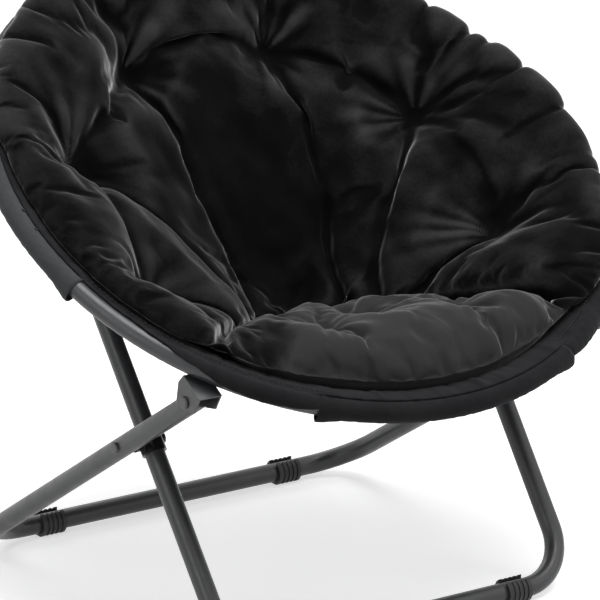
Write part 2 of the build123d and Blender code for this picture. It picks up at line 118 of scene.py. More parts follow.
# Thread ties, as radius and height over the dimple's bottom and over the sling
TIE_HEAD = [(0.0004, -0.0012), (0.0018, -0.0016), (0.0024, -0.0030), (0.0017, -0.0046), (0.0013, -0.0070)]
TIE_KNOT = [(0.0013, 0.0030), (0.0018, 0.0010), (0.0027, -0.0012), (0.0021, -0.0026), (0.0004, -0.0031)]
# Cloth thicknesses and flat sizes
SLING_LAYER, BAND_LAYER, SLEEVE_LAYER, FLAP_LAYER = 0.0020, 0.0016, 0.0014, 0.0011
# Border band: edges, the bend where it meets the sleeves, and heights at the three
BAND_IN, BAND_BEND, BAND_OUT = 0.3590, 0.3832, 0.3890
BAND_HEIGHTS = [-0.0030, 0.0096, 0.0124]
# Rows and segments of the sling and the band
SLING_ROWS, SLING_SEGMENTS, BAND_ROWS, BAND_SEGMENTS = 60, 352, 11, 704
# Sleeve radius round the tube, the places of its seam and its slack round it, and where the sleeves end
SLEEVE_SECTION, SEAM_SPIN, SLACK_SPIN = 0.0132, math.radians(144), math.radians(-50)
REAR_START = math.asin(-0.112 / HOOP_RADIUS)
FRONT_HALF = math.asin(0.179 / HOOP_RADIUS)
# Flaps of the band: place of the free edge round the tube in degrees, at turns in degrees
FLAP_TURNS = [-162.9, -150.0, -146.0, -138.0, -132.0, -125.0, -117.05]
FLAP_ENDS = [126.0, 106.0, 88.0, 40.0, -3.0, -12.0, 24.0]
FLAP_START, FLAP_SECTION = 150.0, 0.0125
# Bar tacks: radius, distance from the tube's axis and place round it
TACK_SIZE, TACK_SECTION, TACK_SPIN = 0.0026, 0.0134, math.radians(110)
# Stitches: pitch, length and radius, and the radius and height of their two rows
STITCH = (0.0062, 0.0040, 0.0006)
OUTER_ROW, INNER_ROW = (0.3800, 0.0098), (0.3668, 0.0022)


def to_row(x, v, h):
    # Points in the scene from hoop coordinates
    sideways = np.multiply.outer(x, [1.0, 0.0, 0.0])
    return HOOP_CENTRE + sideways + np.multiply.outer(v, ALONG) + np.multiply.outer(h, NORMAL)


def lean(h):
    return SEAT_SHIFT * np.maximum(-h, 0.0) / SEAT_DEPTH


def smooth(low, high, value):
    t = np.clip((value - low) / (high - low), 0.0, 1.0)
    return t * t * (3 - 2 * t)


def resample(profile, count, soften=0):
    p = np.array(profile)
    length = np.concatenate([[0], np.cumsum(np.linalg.norm(np.diff(p, axis=0), axis=1))])
    s = np.linspace(0, length[-1], count)
    r, h = np.interp(s, length, p[:, 0]), np.interp(s, length, p[:, 1])
    for _ in range(soften):
        r[1:-1] = (r[:-2] + 2 * r[1:-1] + r[2:]) / 4
        h[1:-1] = (h[:-2] + 2 * h[1:-1] + h[2:]) / 4
    return r, h


def make_mesh(name, points, faces, shade_smooth=True):
    mesh = bpy.data.meshes.new(name)
    mesh.from_pydata([tuple(p) for p in points], [], [tuple(int(i) for i in f) for f in faces])
    mesh.update()
    if shade_smooth:
        mesh.polygons.foreach_set("use_smooth", [True] * len(mesh.polygons))
    obj = bpy.data.objects.new(name, mesh)
    scene.collection.objects.link(obj)
    return obj


def face_outwards(obj):
    bm = bmesh.new()
    bm.from_mesh(obj.data)
    bmesh.ops.recalc_face_normals(bm, faces=bm.faces)
    bm.to_mesh(obj.data)
    bm.free()


def grid_faces(index):
    return np.stack([index[:-1, :-1], index[1:, :-1], index[1:, 1:], index[:-1, 1:]], -1).reshape(-1, 4)


def ring_faces(rows, count, base=0):
    # Faces between closed rings of points that follow one another
    made = []
    for a in range(rows - 1):
        low, high = base + a * count, base + (a + 1) * count
        for b in range(count):
            c = (b + 1) % count
            made.append((low + b, low + c, high + c, high + b))
    return made


def capped_faces(rows, count, base):
    first = tuple(base + b for b in range(count - 1, -1, -1))
    last = tuple(base + (rows - 1) * count + b for b in range(count))
    return ring_faces(rows, count, base) + [first, last]


def add_modifier(obj, kind, **values):
    modifier = obj.modifiers.new(kind.lower(), kind)
    for key, value in values.items():
        setattr(modifier, key, value)
    return modifier


# Materials
def material(name, colour, roughness, **sockets):
    mat = bpy.data.materials.new(name)
    mat.use_nodes = True
    shader = mat.node_tree.nodes["Principled BSDF"]
    shader.inputs["Base Color"].default_value = (*colour, 1)
    shader.inputs["Roughness"].default_value = roughness
    for key, value in sockets.items():
        shader.inputs[key.replace("_", " ")].default_value = value
    return mat, mat.node_tree.nodes, mat.node_tree.links, shader


def node(tree_nodes, kind, **values):
    made = tree_nodes.new(kind)
    for key, value in values.items():
        if key in made.inputs.keys():
            made.inputs[key].default_value = value
        else:
            setattr(made, key, value)
    return made


def noise(tree_nodes, links, coords, scale, detail=3.0, roughness=0.5, distortion=0.0):
    made = node(
        tree_nodes, "ShaderNodeTexNoise", Scale=scale, Detail=detail, Roughness=roughness, Distortion=distortion)
    links.new(coords, made.inputs["Vector"])
    return made.outputs["Fac"]


def ramp(tree_nodes, links, value, stops):
    made = tree_nodes.new("ShaderNodeValToRGB")
    elements = made.color_ramp.elements
    while len(elements) < len(stops):
        elements.new(0.5)
    for element, (place, colour) in zip(elements, stops):
        element.position = place
        element.color = (*colour, 1)
    links.new(value, made.inputs["Fac"])
    return made.outputs["Color"]


def grey(level):
    return (level, level, level)


def bump(tree_nodes, links, shader, layers):
    last = None
    for height, strength, distance in layers:
        made = node(tree_nodes, "ShaderNodeBump", Strength=strength, Distance=distance)
        links.new(height, made.inputs["Height"])
        if last is not None:
            links.new(last, made.inputs["Normal"])
        last = made.outputs["Normal"]
    links.new(last, shader.inputs["Normal"])


def object_coords(tree_nodes):
    return tree_nodes.new("ShaderNodeTexCoord").outputs["Object"]


def velvet_material():
    mat, n, links, shader = material(
        "velvet", grey(0.004), 0.75, Sheen_Weight=1.0, Sheen_Roughness=0.29, Sheen_Tint=(0.80, 0.81, 0.80, 1),
        Specular_IOR_Level=0.03)
    at = object_coords(n)
    # Velvet colour with painted light: painted sheen on ridges, painted shade in valleys and painted light on the seat
    # and gathers, worked out on the mesh and broken up by brushing marks
    shade = node(n, "ShaderNodeAttribute", attribute_name="pile_and_painted_light")
    marks = node(n, "ShaderNodeMath", operation="MULTIPLY_ADD")
    links.new(noise(n, links, at, 11.0, 5.0, 0.6, 1.2), marks.inputs[0])
    marks.inputs[1].default_value = 0.40
    links.new(shade.outputs["Fac"], marks.inputs[2])
    grain = node(n, "ShaderNodeMath", operation="MULTIPLY_ADD")
    links.new(noise(n, links, at, 260.0, 3.0, 0.6), grain.inputs[0])
    grain.inputs[1].default_value = 0.24
    links.new(marks.outputs[0], grain.inputs[2])
    stops = [
        (0.38, grey(0.0005)), (0.56, grey(0.0018)), (0.70, grey(0.0085)),
        (0.84, (0.0190, 0.0189, 0.0186)), (1.0, (0.0310, 0.0310, 0.0308)),
    ]
    links.new(ramp(n, links, grain.outputs[0], stops), shader.inputs["Base Color"])
    links.new(ramp(n, links, noise(n, links, at, 24.0, 3.0), [(0.3, grey(0.62)), (0.7, grey(0.86))]),
              shader.inputs["Roughness"])
    bump(n, links, shader, [
        (noise(n, links, at, 1400.0, 2.0), 0.25, 0.0004),
        (noise(n, links, at, 300.0, 3.0), 0.14, 0.0010),
        (noise(n, links, at, 46.0, 4.0, 0.55, 0.6), 0.30, 0.0025),
    ])
    return mat


def cloth_material(name, dark, light, sheen=0.18, gloss=0.2):
    mat, n, links, shader = material(
        name, light, 0.88, Sheen_Weight=sheen, Sheen_Roughness=0.5, Sheen_Tint=(0.8, 0.82, 0.86, 1),
        Specular_IOR_Level=gloss)
    at = object_coords(n)
    links.new(ramp(n, links, noise(n, links, at, 30.0, 5.0, 0.6), [(0.32, dark), (0.68, light)]),
              shader.inputs["Base Color"])
    threads = []
    for direction in ("X", "Y", "Z"):
        wave = node(n, "ShaderNodeTexWave", Scale=190.0, Distortion=1.2, Detail=1.0, bands_direction=direction)
        links.new(at, wave.inputs["Vector"])
        threads.append(wave.outputs["Fac"])
    weave = node(n, "ShaderNodeMath", operation="MULTIPLY")
    links.new(threads[0], weave.inputs[0])
    links.new(threads[2], weave.inputs[1])
    bump(n, links, shader, [
        (weave.outputs[0], 0.35, 0.0005),
        (threads[1], 0.20, 0.0004),
        (noise(n, links, at, 90.0, 3.0), 0.25, 0.0012),
    ])
    return mat


def coat_material(name, dark, light, roughness, peel):
    mat, n, links, shader = material(name, light, roughness, Specular_IOR_Level=0.5)
    at = object_coords(n)
    links.new(ramp(n, links, noise(n, links, at, 14.0, 5.0, 0.6), [(0.3, dark), (0.7, light)]),
              shader.inputs["Base Color"])
    spread = [(0.3, grey(roughness - 0.06)), (0.7, grey(roughness + 0.07))]
    links.new(ramp(n, links, noise(n, links, at, 60.0, 4.0), spread), shader.inputs["Roughness"])
    bump(n, links, shader, [(noise(n, links, at, 1100.0, 2.0), peel, 0.0003)])
    return mat


VELVET = velvet_material()
CLOTH = cloth_material("sleeve_cloth", (0.039, 0.040, 0.042), (0.050, 0.051, 0.054))
# Darker copy of the sleeve cloth for the band, the front sleeve and the flaps: painted shade where less light falls
SHADE_PAINTED_CLOTH = cloth_material("band_cloth", (0.007, 0.007, 0.008), (0.014, 0.014, 0.015), 0.06, 0.1)
THREAD = cloth_material("thread", (0.010, 0.010, 0.011), (0.020, 0.020, 0.021))
COAT = coat_material("frame_coat", (0.027, 0.028, 0.030), (0.039, 0.040, 0.043), 0.36, 0.10)
RIVET = coat_material("rivet_coat", (0.030, 0.030, 0.032), (0.050, 0.050, 0.053), 0.32, 0.06)
PLASTIC = coat_material("black_plastic", (0.008, 0.008, 0.009), (0.014, 0.014, 0.015), 0.55, 0.30)
GLOSS = coat_material("gloss_plastic", (0.006, 0.006, 0.007), (0.010, 0.010, 0.011), 0.22, 0.05)
FINISH = {
    "seat_hoop": COAT, "front_leg_frame": COAT, "rear_leg_frame": COAT, "bracket_left": COAT, "bracket_right": COAT,
    "bracket_rivets": RIVET, "cross_rivets": RIVET, "saddle_rivets": RIVET,
    "saddle_left": PLASTIC, "saddle_right": PLASTIC, "leg_end_plugs": PLASTIC,
    "cross_collar_left": GLOSS, "cross_collar_right": GLOSS,
    "glide_front_left": PLASTIC, "glide_front_right": PLASTIC, "glide_rear_left": PLASTIC, "glide_rear_right": PLASTIC,
}
for name, finish in FINISH.items():
    nodes[name].data.materials.clear()
    nodes[name].data.materials.append(finish)


# Velvet pad
def disc_grid(count):
    # Square grid bent to a disc, so that its faces are about the same size all over
    i, j = np.meshgrid(np.arange(count + 1), np.arange(count + 1), indexing="ij")
    a, b = 2 * i / count - 1, 2 * j / count - 1
    wide = np.abs(a) > np.abs(b)
    with np.errstate(divide="ignore", invalid="ignore"):
        radius = np.where(wide, a, b)
        turn = np.where(
            wide, math.pi / 4 * np.nan_to_num(b / a), math.pi / 2 - math.pi / 4 * np.nan_to_num(a / b))
    x, y = radius * np.cos(turn), radius * np.sin(turn)
    middle = (a == 0) & (b == 0)
    x[middle], y[middle] = 0, 0
    index = i * (count + 1) + j
    quads = grid_faces(index)
    edge = np.concatenate([index[:, 0], index[-1, 1:], index[-2::-1, -1], index[0, -2:0:-1]])
    return np.hypot(x, y).ravel(), np.arctan2(y, x).ravel(), quads, edge


def line_distance(x, v, line):
    best = np.full(x.shape, 9.0)
    for (ax, av), (bx, bv) in zip(line, line[1:]):
        dx, dv = bx - ax, bv - av
        t = np.clip(((x - ax) * dx + (v - av) * dv) / (dx * dx + dv * dv), 0, 1)
        best = np.minimum(best, np.hypot(x - ax - t * dx, v - av - t * dv))
    return best


def pad_rows(count):
    # Nominal velvet surface on a grid: hoop coordinates, outward direction and place on the disc
    rho, phi, quads, edge = disc_grid(count)
    fine_r, fine_h = resample(PAD_TOP, PROFILE_STEPS, soften=24)
    step = np.linspace(0, 1, PROFILE_STEPS)
    radius, height = np.interp(rho, step, fine_r), np.interp(rho, step, fine_h)
    slope_r, slope_h = np.interp(rho, step, np.gradient(fine_r)), np.interp(rho, step, np.gradient(fine_h))
    slope = np.hypot(slope_r, slope_h)
    reach = np.interp(np.degrees(phi), REACH_TURNS, REACH_SHARES)
    reach = reach * smooth(0.80, 0.925, rho) * smooth(0.985, 0.955, rho)
    radius, height = radius + REACH_OUT * reach, height + REACH_UP * np.maximum(reach, 0.0)
    x, v = radius * np.cos(phi), lean(height) + radius * np.sin(phi)
    return rho, phi, quads, edge, radius, height, x, v, -slope_h / slope, slope_r / slope


def turn_gap(a, b):
    return np.abs(np.angle(np.exp(1j * (a - b))))


def seat_angle(x, v):
    return turn_gap(np.arctan2(v - SEAT_BACK, x), -math.pi / 2)


def seat_far(x, v):
    return np.hypot(x, v - SEAT_BACK)


def back_share(x, v):
    # From nothing at the front to 1 at the back, where the rim is puffed and pleated
    return smooth(-0.12, 0.18, v + 0.25 * x)


def rim_crimp(phi):
    return 1 - 0.7 * smooth(math.radians(75), math.radians(45), turn_gap(phi, SMOOTH_RIM))


def dips(far, pairs):
    return sum(depth * np.exp(-(far / width) ** 2) for depth, width in pairs)


def sewn(far, near, hold):
    return np.where(far < near, hold, 0.0)


rng = np.random.default_rng(7)
COARSE, FINE = 150, 280
OVERHANG = 0.945
pleat_turns = (np.arange(PLEATS) + rng.uniform(-0.42, 0.42, PLEATS)) * 2 * math.pi / PLEATS
pleat_depths = rng.uniform(0.15, 1.0, PLEATS)
pleat_reaches = rng.uniform(0.70, 0.88, PLEATS)
pleat_bends = rng.uniform(-0.35, 0.35, PLEATS)
puff_heights = rng.uniform(0.2, 1.0, PLEATS)


def puff_field(phi):
    # Height of the rim between one pleat and the next
    order = np.argsort(np.mod(pleat_turns, 2 * math.pi))
    turns = np.mod(pleat_turns, 2 * math.pi)[order]
    place = np.searchsorted(turns, np.mod(phi, 2 * math.pi)) % PLEATS
    before, after = turns[place - 1], turns[place]
    share = np.mod(phi - before, 2 * math.pi) / np.mod(after - before, 2 * math.pi)
    return puff_heights[place] * np.sin(np.pi * np.clip(share, 0, 1)) ** 0.7


def pleat_field(rho, phi, radius, width):
    field = np.zeros_like(rho)
    for turn, depth, reach, bend in zip(pleat_turns, pleat_depths, pleat_reaches, pleat_bends):
        off = turn_gap(phi, turn + bend * (0.94 - rho)) * radius
        field = np.maximum(field, depth * np.exp(-(off / width) ** 2) * smooth(reach, 0.935, rho))
    return field


rho, phi, quads, edge, radius, height, x, v, out_part, up_part = pad_rows(COARSE)
lift = np.zeros_like(x)
pin = np.zeros_like(x)
for tx, tv in TUFTS:
    far = np.hypot(x - tx, v - tv)
    share = 0.6 if tv < SEAT_TUFT_LIMIT else 1.0
    lift -= share * dips(far, TUFT_DIPS)
    pin = np.maximum(pin, sewn(far, *TUFT_SEWN))
ring_gap = np.abs(np.hypot(x, v) - TUFT_RING)
lift -= RING_DIP * np.exp(-(ring_gap / RING_WIDTH) ** 2) * smooth(-0.10, 0.02, v + 0.12)
crease_far = line_distance(x, v, CREASE)
seat_turn = seat_angle(x, v)
in_seat = smooth(math.radians(50), math.radians(36), seat_turn)
in_seat = in_seat * smooth(0.01, 0.09, seat_far(x, v)) * smooth(0.93, 0.80, rho)
front = smooth(math.radians(62), math.radians(40), seat_turn)
lift += SEAT_LIFT * in_seat
lift -= FRONT_DIP * front * np.exp(-((rho - 0.885) / 0.06) ** 2)
lift -= dips(crease_far, CREASE_DIPS)
pin = np.maximum(pin, sewn(crease_far, *CREASE_SEWN))
for line in LONG_FOLDS:
    far = line_distance(x, v, line)
    lift -= dips(far, FOLD_DIPS)
    pin = np.maximum(pin, sewn(far, *FOLD_SEWN))
at_back = back_share(x, v)
crimp = rim_crimp(phi)
lift += (RIM_LIFT + PUFF_LIFT * crimp * puff_field(phi)) * at_back * np.exp(-((rho - 0.895) / 0.045) ** 2)
pleat = pleat_field(rho, phi, radius, 0.0060) * (0.10 + 0.90 * at_back) * crimp
lift -= PLEAT_DIP * pleat * smooth(1.0, 0.985, rho)
pin = np.maximum(pin, np.where((pleat > 0.55) & (rho > 0.88), PLEAT_HOLD, 0.0))
pin = np.maximum(pin, smooth(0.925, OVERHANG, rho))
start = to_row(x + out_part * lift * np.cos(phi), v + out_part * lift * np.sin(phi), height + up_part * lift)
swell_cap = SWELL_MOST - SWELL_RIM * smooth(0.78, 0.93, rho) - SWELL_FRONT * front * smooth(0.70, 0.85, rho)


def simulate(points):
    # Swells the velvet between its sewn places and gives it spare cloth to fold
    cloth_obj = make_mesh("pad_cloth", points, quads)
    group = cloth_obj.vertex_groups.new(name="sewn")
    for level in np.unique(np.round(pin, 2)):
        chosen = np.flatnonzero(np.round(pin, 2) == level)
        group.add([int(i) for i in chosen], float(level), "REPLACE")
    cloth = add_modifier(cloth_obj, "CLOTH")
    settings = cloth.settings
    settings.quality = 6
    settings.mass = 0.25
    settings.vertex_group_mass = "sewn"
    settings.pin_stiffness = 1.0
    settings.use_pressure = True
    settings.uniform_pressure_force = 4.0
    settings.shrink_min = -0.070
    settings.tension_stiffness = 20
    settings.compression_stiffness = 20
    settings.shear_stiffness = 8
    settings.bending_stiffness = 0.20
    settings.air_damping = 2.0
    settings.effector_weights.gravity = 0
    cloth.collision_settings.use_collision = False
    cloth.collision_settings.use_self_collision = False
    cloth.point_cache.frame_start = 1
    cloth.point_cache.frame_end = SIM_FRAMES
    for number in range(1, SIM_FRAMES + 1):
        scene.frame_set(number)
    made = cloth_obj.evaluated_get(bpy.context.evaluated_depsgraph_get())
    co = np.zeros(len(points) * 3, np.float32)
    made.data.vertices.foreach_get("co", co)
    scene.frame_set(1)
    bpy.data.objects.remove(cloth_obj)
    move = co.reshape(-1, 3).astype(float) - points
    size = np.linalg.norm(move, axis=1)
    return points + move * np.minimum(1.0, swell_cap / np.maximum(size, 1e-9))[:, None]


def finer(points):
    # Smooth cubic resampling of the coarse grid onto the fine one
    weights = np.zeros((FINE + 1, COARSE + 1))
    for k in range(FINE + 1):
        place = k * COARSE / FINE
        base = min(int(place), COARSE - 1)
        t = place - base
        shares = (-t + 2 * t * t - t ** 3, 2 - 5 * t * t + 3 * t ** 3, t + 4 * t * t - 3 * t ** 3, t ** 3 - t * t)
        for step, share in enumerate(shares, -1):
            weights[k, min(max(base + step, 0), COARSE)] += share / 2
    grid = points.reshape(COARSE + 1, COARSE + 1, 3)
    return np.stack([weights @ grid[..., axis] @ weights.T for axis in range(3)], -1)


def grid_normals(grid):
    made = np.cross(np.gradient(grid, axis=0), np.gradient(grid, axis=1)).reshape(-1, 3)
    made /= np.maximum(np.linalg.norm(made, axis=1, keepdims=True), 1e-12)
    middle = made[len(made) // 2]
    return made if middle @ NORMAL > 0 else -made


def soften_grid(grid, rounds):
    made = grid.copy()
    for _ in range(rounds):
        made[1:-1] = (made[:-2] + 2 * made[1:-1] + made[2:]) / 4
        made[:, 1:-1] = (made[:, :-2] + 2 * made[:, 1:-1] + made[:, 2:]) / 4
    return made


swollen = finer(simulate(start))
rho, phi, quads, edge, radius, height, x, v, out_part, up_part = pad_rows(FINE)
crease = np.zeros_like(x)
gather_highlight_paint = np.zeros_like(x)
for tx, tv in TUFTS:
    far = np.hypot(x - tx, v - tv)
    around = np.arctan2(v - tv, x - tx)
    rays = np.zeros_like(x)
    for ray in rng.uniform(0, 2 * math.pi, RAYS):
        reach, depth, curl = rng.uniform(0.035, 0.115), rng.uniform(0.4, 1.0), rng.uniform(-3.0, 3.0)
        off = turn_gap(around, ray + curl * far) * far
        width = 0.0030 + 0.050 * far
        drawn = depth * np.exp(-off / width) * np.exp(-(far / reach) ** 2) * smooth(0.002, 0.014, far)
        rays = np.maximum(rays, drawn)
    crease += RAY_DEPTH * rays
    # Gathers round the tuft, sharp in the valleys and round on the ridges
    bent = around + 0.5 * np.sin(around + rng.uniform(0, 6.28)) + 0.3 * np.sin(2 * around + rng.uniform(0, 6.28))
    bent += rng.uniform(-4, 4) * far
    lobes = np.abs(np.sin(5.0 * bent)) ** 0.8 * (0.75 + 0.25 * np.sin(3 * around + rng.uniform(0, 6.28)))
    share = 0.5 if tv < SEAT_TUFT_LIMIT else 1.0
    # Painted highlight: the lobes are made lighter in colour, mostly above the tuft
    upward = 0.30 + 0.70 * smooth(-0.4, 0.6, np.sin(around))
    lit = share * upward * (0.25 + 0.75 * lobes ** 2) * np.exp(-(far / 0.075) ** 2) * smooth(0.003, 0.013, far)
    gather_highlight_paint = np.maximum(gather_highlight_paint, lit)
    crease -= GATHER_DEPTH * share * (lobes - 0.45) * np.exp(-(far / 0.058) ** 2) * smooth(0.003, 0.020, far)
for line in LONG_FOLDS:
    crease += FOLD_DEPTH * np.exp(-line_distance(x, v, line) / 0.0055)
crease += CREASE_DEPTH * np.exp(-line_distance(x, v, CREASE) / 0.0050)
crease += PLEAT_DEPTH * pleat_field(rho, phi, radius, 0.0032) * (0.12 + 0.88 * back_share(x, v)) * rim_crimp(phi)
ripple = np.zeros_like(x)
for _ in range(RIPPLES):
    size, turn, shift = rng.uniform(70, 210), rng.uniform(0, math.pi), rng.uniform(0, 2 * math.pi)
    ripple += np.sin(size * (x * math.cos(turn) + v * math.sin(turn)) + shift) / size
crease -= RIPPLE_DEPTH * ripple
crease *= smooth(0.965, 0.93, rho)
top = swollen.reshape(-1, 3) - grid_normals(swollen) * crease[:, None]
# Eases the gathered cloth right at the tufts and at the ends of the seat's fold
tuft_far = np.min([np.hypot(x - tx, v - tv) for tx, tv in TUFTS + [CREASE[0], CREASE[-1]]], axis=0)
eased = soften_grid(top.reshape(FINE + 1, FINE + 1, 3), 10).reshape(-1, 3)
top += (eased - top) * smooth(0.020, 0.008, tuft_far)[:, None]
shape_grid = soften_grid(top.reshape(FINE + 1, FINE + 1, 3), 2)
top = shape_grid.reshape(-1, 3)
under_r, under_h = resample(PAD_UNDER[::-1] + [PAD_TOP[-1]], UNDER_STEPS)
under_step = np.linspace(0, 1, UNDER_STEPS)
low_r, low_h = np.interp(rho, under_step, under_r), np.interp(rho, under_step, under_h)
under = to_row(low_r * np.cos(phi), lean(low_h) + low_r * np.sin(phi), low_h)
inner = np.setdiff1d(np.arange(len(top)), edge)
place = np.arange(len(top))
place[inner] = len(top) + np.arange(len(inner))
faces = np.concatenate([quads, place[quads][:, ::-1]])
pad = make_mesh("velvet_pad", np.concatenate([top, under[inner]]), faces)
face_outwards(pad)
pad.data.materials.append(VELVET)

# Painted light in the velvet's colour: painted sheen on ridges, painted light on the seat, painted highlights on the
# gathers, painted shade in valleys, and darker on the rim
outward = grid_normals(swollen)
small_ridge = np.sum((top - soften_grid(shape_grid, 30).reshape(-1, 3)) * outward, axis=1)
big_ridge = np.sum((top - soften_grid(shape_grid, 220).reshape(-1, 3)) * outward, axis=1)
# Seat region, made lighter in the velvet's colour as painted light
on_seat = smooth(math.radians(50), math.radians(40), seat_angle(x, v)) * smooth(0.0, 0.05, seat_far(x, v))
on_rim = smooth(0.74, 0.90, rho) * (1 - on_seat)
# Velvet colour level: painted sheen on ridges and painted shade in valleys, plus painted light on the seat and painted
# highlights on the gathers
pile_and_painted_light = (PILE_BASE + SMALL_RIDGE_PAINTED_SHEEN_SHADE * small_ridge + BIG_RIDGE_PAINTED_SHEEN_SHADE * big_ridge * (1 - 0.7 * on_rim)
        + SEAT_PAINTED_LIGHT * on_seat - PILE_RIM * on_rim + GATHER_PAINTED_HIGHLIGHT * gather_highlight_paint * (1 - on_seat))
pile_rows = np.concatenate([np.clip(pile_and_painted_light, 0.0, 1.0), np.full(len(inner), PILE_UNDER)])
pile_attribute = pad.data.color_attributes.new("pile_and_painted_light", "FLOAT_COLOR", "POINT")
pile_attribute.data.foreach_set("color", np.repeat(pile_rows, 4).astype(np.float32))
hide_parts("seat_pad")
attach(pad, "seat")


# Tuft ties, from the bottom of each dimple through the pad to the sling
def tuft_ties(name, sides=10):
    local = top - HOOP_CENTRE
    at_x, at_v, at_h = local[:, 0], local @ ALONG, local @ NORMAL
    low_row = np.array(SLING[::-1])
    pts, made = [], []
    for tx, tv in TUFTS:
        near = np.argmin(np.hypot(at_x - tx, at_v - tv))
        high = at_h[near]
        low = -0.12
        for _ in range(60):
            at_sling = np.interp(math.hypot(tx, tv - lean(np.array(low))), low_row[:, 0], low_row[:, 1])
            low = 0.5 * low + 0.5 * at_sling
        rows = [(wide, high + level) for wide, level in TIE_HEAD] + [(wide, low + level) for wide, level in TIE_KNOT]
        base = len(pts)
        for wide, level in rows:
            for k in range(sides):
                turn = 2 * math.pi * k / sides
                pts.append((tx + wide * math.cos(turn), tv + wide * math.sin(turn), level))
        made += capped_faces(len(rows), sides, base)
    p = np.array(pts)
    obj = make_mesh(name, to_row(p[:, 0], p[:, 1], p[:, 2]), made)
    face_outwards(obj)
    obj.data.materials.append(THREAD)
    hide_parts("tuft_stitches")
    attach(obj, "seat")


tuft_ties("tuft_ties")


# Cloth sheets
def polar_sheet(name, profile, segments, shape, thickness, finish):
    r, h = profile
    turn = np.arange(segments) * 2 * math.pi / segments
    rr, tt = np.meshgrid(np.arange(len(r)), turn, indexing="ij")
    rad, hei = shape(r[rr], h[rr], tt)
    pts = to_row(rad * np.cos(tt), lean(hei) + rad * np.sin(tt), hei).reshape(-1, 3)
    obj = make_mesh(name, pts, ring_faces(len(r), segments))
    obj.data.materials.append(finish)
    add_modifier(obj, "SOLIDIFY", thickness=thickness, offset=-1.0, use_even_offset=False)
    return obj


def sling_shape(r, h, turn):
    wave = 0.5 + 0.5 * np.cos(PLEATS * turn + 2 * np.sin(3 * turn))
    panels = 0.5 + 0.5 * np.cos(8 * turn)
    out = 0.0022 * wave * smooth(0.20, 0.35, r) + 0.0016 * panels * smooth(0.03, 0.2, r)
    xx, vv = r * np.cos(turn), lean(h) + r * np.sin(turn)
    for tx, tv in TUFTS:
        out *= 1 - np.exp(-(np.hypot(xx - tx, vv - tv) / 0.03) ** 2)
    return r + out, h


sling = polar_sheet("sling_cloth", resample(SLING, SLING_ROWS), SLING_SEGMENTS, sling_shape, SLING_LAYER, CLOTH)
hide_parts("sling")
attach(sling, "seat")


def band_shape(r, h, turn):
    across = (r - BAND_IN) / (BAND_OUT - BAND_IN)
    pucker = np.zeros_like(r)
    for where in pleat_turns:
        off = np.angle(np.exp(1j * (turn - where))) * 0.37
        pucker = np.maximum(pucker, np.exp(-(off / 0.0035) ** 2))
    # The outer edge lies on the sleeves, and lower on the bare tube
    on_rear = smooth(-0.03, 0.03, math.pi / 2 - REAR_START - turn_gap(turn, math.pi / 2))
    on_front = smooth(-0.03, 0.03, FRONT_HALF - turn_gap(turn, -math.pi / 2))
    seated = np.maximum(on_rear, on_front)
    puff = 0.0014 * np.sin(np.pi * np.clip(across, 0, 1))
    for where in TUCKS:
        off = np.angle(np.exp(1j * (turn - math.radians(where)))) * HOOP_RADIUS
        tuck = np.where(off > 0, 0.0028 * np.exp(-np.abs(off) / 0.007), 0.0)
        puff += tuck * smooth(0.0, 0.2, across) * smooth(1.0, 0.8, across)
    drawn_in = 0.0016 * pucker * smooth(0.9, 0.1, across)
    return r, h + puff - drawn_in + 0.0004 * np.sin(97 * turn) - 0.0042 * (1 - seated) * across


band_rows = np.linspace(BAND_IN, BAND_OUT, BAND_ROWS)
band_profile = (band_rows, np.interp(band_rows, [BAND_IN, BAND_BEND, BAND_OUT], BAND_HEIGHTS))
band = polar_sheet("border_band_cloth", band_profile, BAND_SEGMENTS, band_shape, BAND_LAYER, SHADE_PAINTED_CLOTH)
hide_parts("border_band")
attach(band, "seat")


def sleeve(name, cad_node, first, last, finish, around=40, pitch=0.005):
    steps = int((last - first) * HOOP_RADIUS / pitch)
    turn = np.linspace(first, last, steps + 1)
    spin = np.arange(around) * 2 * math.pi / around
    tt, ss = np.meshgrid(turn, spin, indexing="ij")
    from_end = np.minimum(tt - first, last - tt) * HOOP_RADIUS
    lip = np.exp(-(np.angle(np.exp(1j * (ss - SEAM_SPIN))) / 0.30) ** 2)
    below = np.exp(-(np.angle(np.exp(1j * (ss - SLACK_SPIN))) / 0.9) ** 2)
    wrinkle = 0.0004 * np.sin(160 * tt + 2 * np.sin(3 * ss)) * np.sin(5 * ss + 23 * tt) - 0.0002
    section = SLEEVE_SECTION + 0.0022 * lip + wrinkle + 0.0060 * below * np.exp(-(from_end / 0.022) ** 2)
    r = HOOP_RADIUS + section * np.cos(ss)
    h = section * np.sin(ss)
    pts = to_row(r * np.cos(tt), r * np.sin(tt), h).reshape(-1, 3)
    obj = make_mesh(name, pts, ring_faces(steps + 1, around))
    face_outwards(obj)
    obj.data.materials.append(finish)
    add_modifier(obj, "SOLIDIFY", thickness=SLEEVE_LAYER, offset=-1.0)
    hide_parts(cad_node)
    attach(obj, "seat")


sleeve("rear_sleeve_cloth", "rear_sleeve", REAR_START, math.pi - REAR_START, CLOTH)
sleeve("front_sleeve_cloth", "front_sleeve", -math.pi / 2 - FRONT_HALF, -math.pi / 2 + FRONT_HALF, SHADE_PAINTED_CLOTH)


